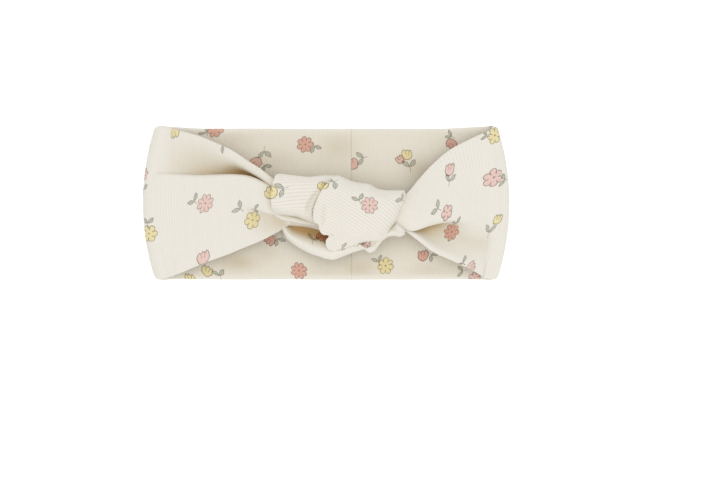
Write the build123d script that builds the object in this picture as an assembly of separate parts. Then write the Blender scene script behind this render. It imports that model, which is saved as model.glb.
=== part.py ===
from build123d import *
import math
import os

# A knotted headband for a baby: one soft tube of double rib-knit cotton, pressed flat,
# joined into a loop by a seam at the centre back and tied in a loose knot at the front.
# It is laid flat on its back half: X runs along the band, Y across it, Z up through the
# back half, the space for the head and the front half with the knot.

# Driving dimensions, millimetres
BAND_LENGTH = 182.4
BAND_WIDTH = 76.6
LAYER = 1.2
LOOP_GAP = 5.0
KNOT_TOP = 25.0
SEAM_X = 12.4
SIDE_BULGE_RADIUS = 123.0
BODY_GAP = 0.3

# Sizes that follow from them
HALF_LENGTH = BAND_LENGTH / 2
HALF_WIDTH = BAND_WIDTH / 2
BACK_TOP = 2 * LAYER
FRONT_LOW = BACK_TOP + LOOP_GAP
FRONT_TOP = FRONT_LOW + 2 * LAYER
FOLD_OUTER = FRONT_TOP / 2
FOLD_INNER = LOOP_GAP / 2
PANEL_REACH = SIDE_BULGE_RADIUS - FOLD_OUTER - BODY_GAP
FLOOR_OF_KNOT = FRONT_TOP + 0.2

# The seam allowances and the threads inside the tube
ALLOWANCE_WIDTH = 5.0
ALLOWANCE_THICKNESS = 0.6
CLOSING_SEAM_WIDTH = 3.6
CLOSING_SEAM_INSET = 1.0
STITCH_PITCH = 3.0
STITCH_LENGTH = 2.2
STITCH_RADIUS = 0.2


def slab(outline, low, high):
    """A flat piece of cloth: a closed plan outline between two heights."""
    face = make_face(Polyline(*outline, close=True))
    return extrude(Pos(0, 0, low) * face, amount=high - low)


def pillow(outline, low, high, foot=0.94, crown=0.62):
    """A puffed piece: the outline draws in a little at its foot and a lot at its crown."""
    mid_x = sum(x for x, _ in outline) / len(outline)
    mid_y = sum(y for _, y in outline) / len(outline)
    height = high - low
    levels = [(low, foot), (low + 0.35 * height, 1.0), (low + 0.75 * height, 0.9), (high, crown)]
    sections = []
    for z, grow in levels:
        points = [(mid_x + grow * (x - mid_x), mid_y + grow * (y - mid_y)) for x, y in outline]
        sections.append(Pos(0, 0, z) * make_face(Polyline(*points, close=True)))
    return loft(sections, ruled=True)


def panel(stations):
    """A wing of the front: one rectangle per station of x, y low, y high and top height."""
    sections = []
    for x, y_low, y_high, top in stations:
        corners = [(y_low, FRONT_LOW), (y_high, FRONT_LOW), (y_high, top), (y_low, top)]
        sections.append(Plane.YZ.offset(x) * make_face(Polyline(*corners, close=True)))
    return loft(sections, ruled=True)


def bulge_cylinder(side, radius):
    """The upright cylinder that rounds one end of the band in plan; side is -1 or +1."""
    centre_x = side * (HALF_LENGTH - SIDE_BULGE_RADIUS)
    return Pos(centre_x, 0, KNOT_TOP / 2) * Cylinder(radius, 2 * KNOT_TOP)


def side_fold(side):
    """Where the band turns back on itself: half a ring, bowed outwards in plan."""
    centre_x = side * (HALF_LENGTH - SIDE_BULGE_RADIUS)
    ring_x = SIDE_BULGE_RADIUS - FOLD_OUTER
    sweep = 2 * math.degrees(math.asin(HALF_WIDTH / SIDE_BULGE_RADIUS))
    ring = Circle(FOLD_OUTER) - Circle(FOLD_INNER)
    half = ring & (Pos(FOLD_OUTER / 2, 0) * Rectangle(FOLD_OUTER, 2 * FOLD_OUTER))
    profile = Plane.XZ * (Pos(ring_x, FOLD_OUTER) * half)
    fold = revolve(profile, Axis.Z, revolution_arc=sweep)
    turn = -sweep / 2 if side > 0 else 180 - sweep / 2
    return Pos(centre_x, 0, 0) * Rot(0, 0, turn) * fold


def seam_allowance():
    """The cut ends of the tube, pressed open inside it at the centre back."""
    strip = Box(ALLOWANCE_WIDTH, BAND_WIDTH - 2 * LAYER, ALLOWANCE_THICKNESS)
    return Pos(SEAM_X, 0, LAYER) * strip


def seam_stitches():
    """One row of short stitches that joins the two ends of the tube."""
    count = int((BAND_WIDTH - 4 * LAYER) // STITCH_PITCH)
    first = -(count - 1) * STITCH_PITCH / 2
    stitch = Rot(90, 0, 0) * Cylinder(STITCH_RADIUS, STITCH_LENGTH)
    row = [Pos(SEAM_X, first + i * STITCH_PITCH, LAYER) * stitch for i in range(count)]
    return Compound(children=row)


def closing_seam(x_low, x_high):
    """The long allowance that closed the tube, turned inside along the lower edge."""
    length = x_high - x_low
    y_middle = -HALF_WIDTH + LAYER + CLOSING_SEAM_INSET + CLOSING_SEAM_WIDTH / 2
    strip = Box(length, CLOSING_SEAM_WIDTH, ALLOWANCE_THICKNESS)
    return Pos((x_low + x_high) / 2, y_middle, LAYER) * strip


def back_layer(side, low, hollows):
    """One layer of the back half on one side of the centre back seam."""
    inner_x, outer_x = SEAM_X, side * HALF_LENGTH
    width = abs(outer_x - inner_x)
    sheet = Pos((inner_x + outer_x) / 2, 0, low + LAYER / 2) * Box(width, BAND_WIDTH, LAYER)
    sheet = sheet & bulge_cylinder(side, PANEL_REACH)
    for hollow in hollows:
        sheet = sheet - hollow
    return sheet


def back_nodes():
    """The back half: two layers on each side, with the seams held between them."""
    reach_x = HALF_LENGTH - 12
    clear = ALLOWANCE_WIDTH / 2
    allowance = seam_allowance()
    stitches = seam_stitches()
    seams = {
        "back_left_closing_seam": closing_seam(-reach_x, SEAM_X - clear),
        "back_right_closing_seam": closing_seam(SEAM_X + clear, reach_x),
    }
    hollows = [allowance, *seams.values()]
    nodes = {"centre_back_seam_allowance": allowance - stitches, "centre_back_stitches": stitches}
    nodes.update(seams)
    for name, side in (("left", -1), ("right", 1)):
        nodes[f"back_{name}_outer_layer"] = back_layer(side, 0, hollows)
        nodes[f"back_{name}_inner_layer"] = back_layer(side, LAYER, hollows)
    return nodes


def wing_nodes():
    """The front half on each side of the knot, fanned out flat from the knot to the fold."""
    end_top = FRONT_TOP
    end_x = HALF_LENGTH + 1
    left_main = panel([
        (-end_x, -HALF_WIDTH, 14.2, end_top),
        (-80, -HALF_WIDTH, 14.2, end_top),
        (-63, -30.3, 14.2, end_top + 0.6),
        (-44, -23.3, 13.6, end_top + 2.2),
        (-28, -12.4, 8.6, end_top + 5.0),
    ])
    left_roll = panel([
        (-end_x, 14.5, HALF_WIDTH, end_top),
        (-76, 14.5, HALF_WIDTH, end_top),
        (-63, 14.5, 33.6, end_top + 1.2),
        (-44, 13.9, 24.6, end_top + 2.6),
        (-28, 8.9, 13.2, end_top + 5.0),
    ])
    right_lobe = panel([
        (40, -10.0, 4.6, end_top + 5.0),
        (48, -11.4, 13.8, end_top + 3.6),
        (62, -7.9, 27.2, end_top + 1.2),
        (80, -7.9, 36.4, end_top),
        (end_x, -7.9, HALF_WIDTH, end_top),
    ])
    right_fold = panel([
        (40, -14.8, -10.3, end_top + 2.4),
        (48, -20.6, -11.7, end_top + 1.0),
        (62, -29.2, -8.2, end_top),
        (79, -HALF_WIDTH, -8.2, end_top),
        (end_x, -HALF_WIDTH, -8.2, end_top),
    ])
    left_end = bulge_cylinder(-1, PANEL_REACH)
    right_end = bulge_cylinder(1, PANEL_REACH)
    return {
        "left_wing_main_panel": left_main & left_end,
        "left_wing_upper_roll": left_roll & left_end,
        "right_wing_upper_lobe": right_lobe & right_end,
        "right_wing_lower_fold": right_fold & right_end,
    }


def knot_nodes():
    """The knot: a low pass underneath, two puffed wraps over it and the loops below them."""
    core = [
        (-27.8, 8.5), (39.8, 4.4), (39.8, -14.6), (27.6, -18.4), (9.4, -24.3), (3.6, -25.0),
        (-1.0, -21.3), (-9.0, -19.6), (-16.0, -15.2), (-20.2, -11.9), (-27.8, -12.2),
    ]
    left_wrap = [
        (-25.2, 14.9), (-10.7, 13.8), (-3.4, 13.4), (-3.4, 3.7), (-6.2, -5.5), (-4.0, -11.4),
        (-21.7, -10.3), (-26.8, -5.5), (-27.6, 2.0),
    ]
    cover = [
        (-2.8, 13.4), (7.0, 12.9), (21.9, 9.8), (31.1, 6.8), (39.4, 6.5), (38.2, -1.0),
        (37.0, -6.0), (38.0, -12.2), (30.5, -17.6), (20.0, -20.4), (9.9, -23.6), (4.4, -24.2),
        (1.0, -20.2), (0.4, -16.4), (-3.0, -13.5), (-5.2, -5.5), (-2.6, 3.7),
    ]
    loop = [
        (-21.8, -12.4), (-16.0, -20.4), (-6.2, -26.2), (2.4, -27.3), (9.3, -25.8), (14.6, -23.9),
        (9.6, -24.6), (3.5, -25.3), (-1.2, -21.6), (-9.2, -19.9), (-16.2, -15.5), (-20.4, -12.2),
    ]
    tail = [
        (15.4, -22.6), (18.6, -23.8), (21.6, -24.9), (25.6, -23.8), (27.6, -20.8), (27.4, -18.7),
    ]
    edge = [(-21.6, -10.6), (-4.2, -11.7), (-3.9, -13.0), (-12.0, -13.6), (-21.0, -12.0)]
    gather = [(31.4, -17.9), (38.2, -12.8), (39.6, -15.4), (36.4, -18.6), (32.2, -18.8)]
    knot_low = FLOOR_OF_KNOT
    return {
        "knot_under_pass": slab(core, FRONT_LOW, knot_low),
        "knot_left_wrap": pillow(left_wrap, knot_low, KNOT_TOP - 2.5),
        "knot_cover_wrap": pillow(cover, knot_low, KNOT_TOP),
        "knot_left_rolled_edge": slab(edge, knot_low, knot_low + 5.0),
        "knot_lower_loop": slab(loop, FRONT_LOW, FRONT_LOW + 6.5),
        "knot_tail_loop": slab(tail, FRONT_LOW, FRONT_LOW + 4.5),
        "knot_right_gather": slab(gather, knot_low, knot_low + 4.0),
    }


def all_nodes():
    nodes = back_nodes()
    nodes["left_side_fold"] = side_fold(-1)
    nodes["right_side_fold"] = side_fold(1)
    nodes.update(wing_nodes())
    nodes.update(knot_nodes())
    return nodes


os.makedirs("parts", exist_ok=True)
for node_name, solid in all_nodes().items():
    solid.label = node_name
    export_step(solid, f"parts/{node_name}.step")
    box = solid.bounding_box()
    print(f"{node_name:30s} x {box.min.X:7.2f} {box.max.X:7.2f}  y {box.min.Y:7.2f} {box.max.Y:7.2f}"
          f"  z {box.min.Z:6.2f} {box.max.Z:6.2f}  {solid.volume:9.1f} mm3")
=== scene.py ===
import math

import bmesh
import bpy
import numpy as np
from bpy.props import FloatProperty, FloatVectorProperty, PointerProperty
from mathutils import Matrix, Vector, noise


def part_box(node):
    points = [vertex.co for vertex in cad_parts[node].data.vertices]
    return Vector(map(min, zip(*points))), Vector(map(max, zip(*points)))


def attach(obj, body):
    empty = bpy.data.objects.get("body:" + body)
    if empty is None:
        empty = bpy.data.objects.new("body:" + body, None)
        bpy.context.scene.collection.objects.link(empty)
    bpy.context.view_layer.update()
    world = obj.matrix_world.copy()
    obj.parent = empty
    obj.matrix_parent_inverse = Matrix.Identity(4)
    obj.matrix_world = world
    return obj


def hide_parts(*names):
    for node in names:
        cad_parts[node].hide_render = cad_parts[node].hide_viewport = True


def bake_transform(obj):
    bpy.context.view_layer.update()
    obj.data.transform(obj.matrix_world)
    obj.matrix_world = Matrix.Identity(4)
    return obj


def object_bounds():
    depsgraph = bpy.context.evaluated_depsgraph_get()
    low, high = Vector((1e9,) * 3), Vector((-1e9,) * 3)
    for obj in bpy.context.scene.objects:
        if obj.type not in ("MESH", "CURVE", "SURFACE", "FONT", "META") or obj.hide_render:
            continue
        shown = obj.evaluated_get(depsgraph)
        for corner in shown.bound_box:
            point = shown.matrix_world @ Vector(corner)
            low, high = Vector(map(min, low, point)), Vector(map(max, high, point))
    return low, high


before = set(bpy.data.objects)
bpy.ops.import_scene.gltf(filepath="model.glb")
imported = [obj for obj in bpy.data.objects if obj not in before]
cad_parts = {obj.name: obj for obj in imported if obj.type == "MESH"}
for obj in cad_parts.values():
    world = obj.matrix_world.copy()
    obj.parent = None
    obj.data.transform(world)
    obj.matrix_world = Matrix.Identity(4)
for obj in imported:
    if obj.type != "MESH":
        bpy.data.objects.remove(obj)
CAD_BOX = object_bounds()

bl_info = {
    "name": "Knotted Headband",
    "version": (1, 0, 0),
    "blender": (4, 5, 0),
    "location": "View3D > Sidebar > Headband",
    "description": "Makes a soft rib-knit headband with a front knot, laid flat on its back half",
    "category": "Object",
}

# The band is drawn in millimetres at its nominal length, and this takes them to the frame.
NOMINAL_LENGTH = 182.4
UNIT = (CAD_BOX[1].x - CAD_BOX[0].x) / NOMINAL_LENGTH
HALF_LENGTH = NOMINAL_LENGTH / 2
HALF_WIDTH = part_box("back_left_outer_layer")[1].y / UNIT
SEAM_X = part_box("back_left_outer_layer")[1].x / UNIT
BACK_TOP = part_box("back_left_inner_layer")[1].z / UNIT
FRONT_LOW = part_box("knot_under_pass")[0].z / UNIT
FOLD_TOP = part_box("left_side_fold")[1].z / UNIT
KNOT_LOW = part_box("knot_cover_wrap")[0].z / UNIT
KNOT_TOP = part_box("knot_cover_wrap")[1].z / UNIT
SIDE_BULGE_RADIUS = 123.0
BEND_START = 45.0
BEND_END = 88.0
UNDERSIDE_SHIFT = (13.0, 9.0)  # how far the print of an underside is moved from the top's
EDGE_ROUND = 1.05
WING_TUCK = 0.6
RIGHT_RIB_LEAN = 0.45
BACK_EDGE_ROUND = 2.6
POINTS_PER_MM = 7.2
VIEW_WIDTH = 351
VIEW_CENTRE = (12.35, -19.5)
PLAN_TO_MAP = 0.01  # the cloth map of a piece is in units of 100 millimetres


# ---------------------------------------------------------------- sizes and colours


class HeadbandSizes(bpy.types.PropertyGroup):
    """Sizes of the knit, in millimetres of the nominal band."""

    rib_pitch: FloatProperty(
        name="Rib pitch", description="Distance between ribs on the flat band", default=1.06
    )
    knot_rib_pitch: FloatProperty(
        name="Knot rib pitch", description="Distance between ribs where the knot stretches them",
        default=1.55,
    )
    rib_depth: FloatProperty(
        name="Rib depth", description="Height of a rib over its valley on the flat band",
        default=0.16,
    )
    knot_rib_depth: FloatProperty(
        name="Knot rib depth", description="Height of a rib over its valley on the knot",
        default=0.28,
    )
    wing_thickness: FloatProperty(
        name="Wing thickness", description="Thickness of the two layers of a wing", default=1.9
    )
    knot_roll: FloatProperty(
        name="Knot roll", description="How far in from its edge a wrap of the knot turns over",
        default=6.5,
    )


def colour_property(label, description, value):
    return FloatVectorProperty(
        name=label, description=description, subtype="COLOR", size=3, min=0, max=1, default=value
    )


class HeadbandColours(bpy.types.PropertyGroup):
    """Colours of the knit, of its print and of the shade painted into its folds and valleys."""

    cream: colour_property("Cream", "Top of the ribs", (0.80, 0.77, 0.70))
    # the inner face's own tone, darkened and warmed with painted shade for lying under the front
    inside: colour_property("Inside", "Inner face of the band", (0.785, 0.74, 0.64))
    # painted shade in the valleys between the ribs and between the rows of stitches
    valley: colour_property("Valley", "Valleys between the ribs", (0.66, 0.60, 0.50))
    # painted shade: the warm, darker tint laid on cloth in its folds
    hollow: colour_property("Hollow", "What the cloth takes on in a fold", (0.62, 0.52, 0.33))
    # painted shade: a further tint laid on the deepest folds
    deep: colour_property("Deep", "What the deepest folds take on as well", (0.90, 0.72, 0.52))
    pink: colour_property("Pink", "Pink petals", (0.97, 0.74, 0.74))
    coral: colour_property("Coral", "Coral petals", (0.88, 0.55, 0.50))
    rose: colour_property("Rose", "Petals on the inner face", (0.93, 0.66, 0.63))
    yellow: colour_property("Yellow", "Yellow petals", (0.99, 0.91, 0.58))
    leaf: colour_property("Leaf", "Leaves", (0.72, 0.76, 0.72))
    outline: colour_property("Outline", "Drawn outlines", (0.34, 0.30, 0.26))
    thread: colour_property("Thread", "Sewing thread", (0.87, 0.83, 0.74))


# ---------------------------------------------------------------- surfaces


def hermite(knots, values, at):
    """A smooth curve through values at the knots, read at other places."""
    knots, values, at = np.asarray(knots, float), np.asarray(values, float), np.asarray(at, float)
    slopes = np.empty_like(values)
    gap = (knots[2:] - knots[:-2]).reshape(-1, *[1] * (values.ndim - 1))
    slopes[1:-1] = (values[2:] - values[:-2]) / gap
    slopes[0] = (values[1] - values[0]) / (knots[1] - knots[0])
    slopes[-1] = (values[-1] - values[-2]) / (knots[-1] - knots[-2])
    i = np.clip(np.searchsorted(knots, at, side="right") - 1, 0, len(knots) - 2)
    shape = (-1, *[1] * (values.ndim - 1))
    span = (knots[i + 1] - knots[i]).reshape(shape)
    t = ((at - knots[i]) / (knots[i + 1] - knots[i])).reshape(shape)
    rest = 1 - t
    ends = (1 + 2 * t) * rest**2 * values[i] + t**2 * (3 - 2 * t) * values[i + 1]
    return ends + span * (t * rest**2 * slopes[i] - t**2 * rest * slopes[i + 1])


def lengths(points, axis):
    """Distance along each line of a grid of points, starting at zero."""
    steps = np.linalg.norm(np.diff(points[..., :3], axis=axis), axis=-1)
    zero = np.zeros_like(np.take(steps, [0], axis=axis))
    return np.concatenate([zero, np.cumsum(steps, axis=axis)], axis=axis)


def even(points, count):
    """The same line with its points spread evenly along it."""
    run = lengths(points, 0)
    at = np.linspace(0, run[-1], count)
    return np.stack([np.interp(at, run, points[:, k]) for k in range(points.shape[1])], axis=1)


def lofted(stations, count_along, count_across, edge_share=0.35):
    """A smooth grid through stations, each a list of points across the cloth."""
    net = np.array(stations, float)
    across = lengths(net, 1).mean(axis=0)
    edge = 0.5 - 0.5 * np.cos(np.linspace(0, math.pi, count_across))
    blend = edge_share * edge + (1 - edge_share) * np.linspace(0, 1, count_across)
    net = hermite(across, net.swapaxes(0, 1), blend * across[-1]).swapaxes(0, 1)
    along = lengths(net, 0).mean(axis=1)
    fine = hermite(along, net, np.linspace(0, along[-1], 6 * len(stations)))
    run = lengths(fine, 0).mean(axis=1)
    return hermite(run, fine, np.linspace(0, run[-1], count_along))


def with_painted_shade(stations, count_along, count_across):
    """The lofted grid of stations, and how much painted fold shade each of its points takes."""
    full = [[(*p, 0.0) if len(p) == 3 else p for p in row] for row in stations]
    grid = lofted(full, count_along, count_across)
    return grid[..., :3], np.clip(grid[..., 3], 0, 1)


def patch(top, right, bottom, left, count_along, count_across):
    """A plan grid inside four edges: left and right run downwards, top and bottom rightwards."""
    top, bottom = (even(spline(line), count_along) for line in (top, bottom))
    left, right = (even(spline(line), count_across) for line in (left, right))
    s = np.linspace(0, 1, count_along)[:, None, None]
    t = np.linspace(0, 1, count_across)[None, :, None]
    sides = (1 - s) * left[None] + s * right[None]
    ends = (1 - t) * top[:, None] + t * bottom[:, None]
    corners = (1 - s) * (1 - t) * top[0] + s * (1 - t) * top[-1]
    corners = corners + (1 - s) * t * bottom[0] + s * t * bottom[-1]
    return sides + ends - corners


def spline(points, count=80):
    """A smooth line through a few points."""
    points = np.array(points, float)
    run = lengths(points, 0)
    return hermite(run, points, np.linspace(0, run[-1], count))


def normals(grid):
    """The unit normal of a grid of points, from its own lines."""
    along, across = np.gradient(grid, axis=0), np.gradient(grid, axis=1)
    cross = np.cross(along, across)
    return cross / np.maximum(np.linalg.norm(cross, axis=-1, keepdims=True), 1e-9)


def rib_shape(phase):
    """A row of rounded ribs with narrow valleys, from 0 in a valley to 1 on a rib."""
    return np.abs(np.sin(math.pi * phase)) ** 0.5


def gentle(points, size, depth, seed):
    """Slow unevenness of soft cloth, the same each time."""
    flat = points.reshape(-1, points.shape[-1])
    offset = Vector((seed * 17.3, seed * 5.1, seed * 9.7))
    found = [noise.noise(Vector(p) / size + offset) for p in flat]
    return depth * np.array(found).reshape(points.shape[:-1])


def line_distance(points, line):
    """Distance in plan from each point to a line, and how far along it (0 to 1) that is."""
    at = spline(line, 60)[:, :2]
    flat = points[..., :2].reshape(-1, 2)
    away = np.linalg.norm(flat[:, None] - at[None], axis=-1)
    nearest = away.argmin(axis=1)
    shape = points.shape[:-1]
    return away.min(axis=1).reshape(shape), (nearest / (len(at) - 1)).reshape(shape)


def crease(points, line, depth, width, fade=0.25):
    """How deep a soft groove along a line cuts at each point; it dies out at both ends."""
    away, along = line_distance(points, line)
    ends = np.clip(np.minimum(along, 1 - along) / fade, 0, 1)
    return depth * np.exp(-((away / width) ** 2)) * ends**0.7


class Cloth:
    """A closed piece of cloth between an upper and a lower grid of points."""

    def __init__(self, upper, lower, cloth, ribs):
        self.upper, self.lower, self.cloth, self.ribs = upper, lower, cloth, ribs
        # painted fold shade of each point, none unless a piece gives it
        self.hollow = 0 * ribs
        self.inner = 0 * ribs

    def place(self, x, y):
        """Where on the cloth a place in plan is, and what takes steps in plan to the cloth."""
        away = np.linalg.norm(self.upper[..., :2] - (x, y), axis=-1) - 0.02 * self.upper[..., 2]
        i, j = np.unravel_index(away.argmin(), away.shape)
        i, j = min(max(i, 2), away.shape[0] - 3), min(max(j, 2), away.shape[1] - 3)
        along = self.upper[i + 2, j, :2] - self.upper[i - 2, j, :2]
        across = self.upper[i, j + 2, :2] - self.upper[i, j - 2, :2]
        du = self.cloth[i + 2, j] - self.cloth[i - 2, j]
        dv = self.cloth[i, j + 2] - self.cloth[i, j - 2]
        plan = np.array([along, across]).T
        if abs(np.linalg.det(plan)) < 1e-6:
            return self.cloth[i, j], np.eye(2)
        onto = np.array([du, dv]).T @ np.linalg.inv(plan)
        return self.cloth[i, j] + onto @ (np.array((x, y)) - self.upper[i, j, :2]), onto

    def build(self, name):
        """The closed mesh: two layers, two flat ends and two long edges."""
        count, across = self.upper.shape[:2]
        index = np.arange(count * across).reshape(count, across)
        low = index + count * across
        fours = (
            (index[:-1, :-1], index[1:, :-1], index[1:, 1:], index[:-1, 1:]),
            (low[:-1, :-1], low[:-1, 1:], low[1:, 1:], low[1:, :-1]),
            (index[0, :-1], index[0, 1:], low[0, 1:], low[0, :-1]),
            (index[-1, 1:], index[-1, :-1], low[-1, :-1], low[-1, 1:]),
            (index[1:, 0], index[:-1, 0], low[:-1, 0], low[1:, 0]),
            (index[:-1, -1], index[1:, -1], low[1:, -1], low[:-1, -1]),
        )
        quads = [np.stack(four, axis=-1).reshape(-1, 4) for four in fours]
        faces = np.concatenate(quads)
        points = np.concatenate([self.upper.reshape(-1, 3), self.lower.reshape(-1, 3)]) * UNIT
        mesh = bpy.data.meshes.new(name)
        mesh.from_pydata(points.tolist(), [], faces.tolist())
        smooth = np.repeat([True, True, False, False, True, True], [len(part) for part in quads])
        mesh.polygons.foreach_set("use_smooth", smooth)
        flat = self.cloth.reshape(-1, 2)
        on_cloth = np.concatenate([flat, flat + np.array(UNDERSIDE_SHIFT)])
        layer = mesh.uv_layers.new(name="cloth")
        layer.data.foreach_set("uv", (on_cloth[faces.reshape(-1)] * PLAN_TO_MAP).reshape(-1))
        # the hollow attribute carries each point's painted fold shade
        for attribute, above, below in (("rib", self.ribs, self.ribs),
                                        ("hollow", self.hollow, self.hollow),
                                        ("inner", self.inner, 0 * self.inner)):
            made = mesh.attributes.new(attribute, "FLOAT", "POINT")
            values = np.concatenate([above.reshape(-1), below.reshape(-1)])
            made.data.foreach_set("value", values.astype(np.float32))
        self.weld(mesh)
        piece = bpy.data.objects.new(name, mesh)
        bpy.context.scene.collection.objects.link(piece)
        return piece

    @staticmethod
    def weld(mesh):
        work = bmesh.new()
        work.from_mesh(mesh)
        bmesh.ops.remove_doubles(work, verts=work.verts, dist=2e-6)
        bmesh.ops.dissolve_degenerate(work, edges=work.edges, dist=1e-7)
        bmesh.ops.recalc_face_normals(work, faces=work.faces)
        work.to_mesh(mesh)
        work.free()


def round_over(near, radius, power=0.5):
    """The height of a rounded edge, from 0 at the edge to 1 a radius in from it."""
    return np.clip(1 - (1 - np.clip(near / radius, 0, 1)) ** 2, 0, 1) ** power


def sheet_cloth(middle, thickness, pitch, depth, crest=0, top_round=EDGE_ROUND, corners=False,
                lean=0.0):
    """A tube pressed flat: two layers about a middle grid, with round folds at both edges."""
    across = lengths(middle, 1)
    along = lengths(middle, 0)
    share = across / across[:, -1:]
    near = np.minimum(share, 1 - share) * across[:, -1:].mean()
    centre = along.mean(axis=1, keepdims=True) + np.zeros_like(share)
    centre = centre + pitch / 2 - centre[crest]
    run = np.clip((centre - 14) / 36, 0, 1)
    off_middle = (share - 0.5) * across[:, -1:]
    phase = (centre + lean * run**2 * (3 - 2 * run) * off_middle) / pitch
    height = thickness / 2 - depth * (1 - rib_shape(phase))
    up = normals(middle)
    if corners:
        middle = round_corners(middle)
    upper = middle + up * (height * round_over(near, top_round))[..., None]
    lower = middle - up * (height * round_over(near, EDGE_ROUND))[..., None]
    cloth = np.stack([centre, across], axis=-1)
    return Cloth(upper, lower, cloth, phase)


def wrap_cloth(plan, edge_z, low, crown, roll, rib_lines, pitch, depth, creases=(), power=0.5):
    """A puffed wrap over a plan grid, which turns over near its edge with its ribs."""
    border = np.concatenate([plan[:, 0], plan[-1], plan[::-1, -1], plan[::-1, 0]])
    flat = plan.reshape(-1, 2)
    away, nearest = np.full(len(flat), 1e9), flat.copy()
    for part in np.array_split(border, 12):
        gaps = np.linalg.norm(flat[:, None] - part[None], axis=-1)
        closer = gaps.min(axis=1) < away
        nearest[closer] = part[gaps.argmin(axis=1)][closer]
        away = np.minimum(away, gaps.min(axis=1))
    away = away.reshape(plan.shape[:2])
    outward = (nearest.reshape(plan.shape) - plan) / np.maximum(away, 1e-6)[..., None]
    outward[0], outward[-1] = outward[1], outward[-2]
    outward[:, 0], outward[:, -1] = outward[:, 1], outward[:, -2]
    turned = round_over(away, roll, power)
    height = edge_z + (crown - edge_z) * turned
    cloth = plan + outward * ((crown - height) * 0.9)[..., None]
    for groove in creases:
        height = height - crease(plan, *groove) * turned
    height = height + gentle(np.dstack([plan, 0 * away]), 9.0, 0.5, 3) * turned
    upper = np.dstack([plan, height])
    phase = rib_lines(cloth[..., 0], cloth[..., 1]) / pitch
    relief = depth * (rib_shape(phase) - 0.5) * np.clip(away / 1.2, 0, 1)
    upper = upper + normals(upper) * relief[..., None] * np.sign(normals(upper)[..., 2:3])
    lower = np.dstack([plan, edge_z - (edge_z - low) * turned])
    return Cloth(upper, lower, cloth, phase)


# ---------------------------------------------------------------- node helpers


class Amount:
    """A value that changes over the surface; sums with it become maths nodes."""

    def __init__(self, tree, socket):
        self.tree, self.socket = tree, socket

    def do(self, operation, *others, clamp=False):
        return self.tree.maths(operation, self, *others, clamp=clamp)

    def __abs__(self):
        return self.do("ABSOLUTE")


def sum_by(operation, turned):
    """One sum of Amount, or the same with its two sides turned about."""
    def act(self, other):
        pair = (other, self) if turned else (self, other)
        return self.tree.maths(operation, *pair)
    return act


for sign, operation in (("add", "ADD"), ("sub", "SUBTRACT"), ("mul", "MULTIPLY"),
                        ("truediv", "DIVIDE"), ("pow", "POWER")):
    setattr(Amount, f"__{sign}__", sum_by(operation, False))
    setattr(Amount, f"__r{sign}__", sum_by(operation, True))


class Tree:
    """A node tree with short ways to add nodes and links."""

    def __init__(self, tree):
        self.tree = tree
        self.count = 0

    def node(self, kind, inputs=None, **settings):
        """A new node, set out in rows of eight, with its inputs filled by name or number."""
        made = self.tree.nodes.new(kind)
        made.location = (220 * (self.count % 8), -180 * (self.count // 8))
        self.count += 1
        for name, value in settings.items():
            setattr(made, name, value)
        for key, value in (inputs or {}).items():
            self.fill(made.inputs[key], value)
        return made

    def fill(self, socket, value):
        if isinstance(value, Amount):
            value = value.socket
        if isinstance(value, bpy.types.NodeSocket):
            self.tree.links.new(value, socket)
        else:
            socket.default_value = value

    def maths(self, operation, *values, clamp=False):
        inputs = dict(enumerate(values))
        made = self.node("ShaderNodeMath", inputs, operation=operation, use_clamp=clamp)
        return Amount(self, made.outputs[0])

    def vector(self, operation, *values):
        inputs = dict(enumerate(values))
        return self.node("ShaderNodeVectorMath", inputs, operation=operation).outputs[0]

    def scaled(self, vector, scale):
        inputs = {0: vector, "Scale": scale}
        return self.node("ShaderNodeVectorMath", inputs, operation="SCALE").outputs[0]

    def split(self, vector):
        made = self.node("ShaderNodeSeparateXYZ", {0: vector})
        return [Amount(self, socket) for socket in made.outputs]

    def within(self, distance, edge, soft):
        """1 where distance is under edge, falling to 0 over a soft border."""
        inputs = {"Value": distance, "From Min": edge + soft, "From Max": edge - soft}
        made = self.node("ShaderNodeMapRange", inputs, interpolation_type="SMOOTHSTEP")
        return Amount(self, made.outputs[0])

    def mix(self, factor, a, b, blend_type="MIX"):
        inputs = {0: factor, 6: a, 7: b}
        made = self.node("ShaderNodeMix", inputs, data_type="RGBA", blend_type=blend_type)
        return made.outputs[2]

    def noise(self, vector, scale, detail=2.0, roughness=0.5):
        """The plain value and the colour of a noise."""
        inputs = {"Vector": vector, "Scale": scale, "Detail": detail, "Roughness": roughness}
        made = self.node("ShaderNodeTexNoise", inputs)
        return Amount(self, made.outputs[0]), made.outputs[1]

    def group(self, name, inputs):
        made = self.node("ShaderNodeGroup", node_tree=bpy.data.node_groups[name])
        for label, value in inputs.items():
            self.fill(made.inputs[label], value)
        return made.outputs


def new_group(name, inputs, outputs):
    """A shader group. Each input has its kind of socket, or the default of a plain number."""
    group = bpy.data.node_groups.new(name, "ShaderNodeTree")
    for label, kind in inputs.items():
        plain = isinstance(kind, float)
        socket = group.interface.new_socket(
            name=label, in_out="INPUT", socket_type=f"NodeSocket{'Float' if plain else kind}"
        )
        if plain:
            socket.default_value = kind
    for label, kind in outputs.items():
        group.interface.new_socket(name=label, in_out="OUTPUT", socket_type=f"NodeSocket{kind}")
    tree = Tree(group)
    entry = tree.node("NodeGroupInput").outputs
    source = {label: Amount(tree, entry[label]) for label in inputs}
    return tree, source, tree.node("NodeGroupOutput").inputs


def colour4(value):
    return (value[0], value[1], value[2], 1.0)


# ---------------------------------------------------------------- print, knit and painted shade groups


MOTIF_INPUTS = {
    "Cloth": "Color", "Position": "Vector", "Spot": "Vector", "Turn": 0.0, "Size": 1.0,
    "Petals": 6.0, "Fill": "Color", "Line": "Color",
}
LINE_HALF = 0.19  # half the width of a drawn line, in millimetres
INK_STRENGTH = 0.8
LEAF_SPREAD = 0.76  # half the angle between two leaves, in radians
ROW_PITCH = 0.92  # from one row of stitches to the next, in millimetres
HOLLOW_REACH = 0.03  # how far off, in metres, cloth still shades its neighbours


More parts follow.
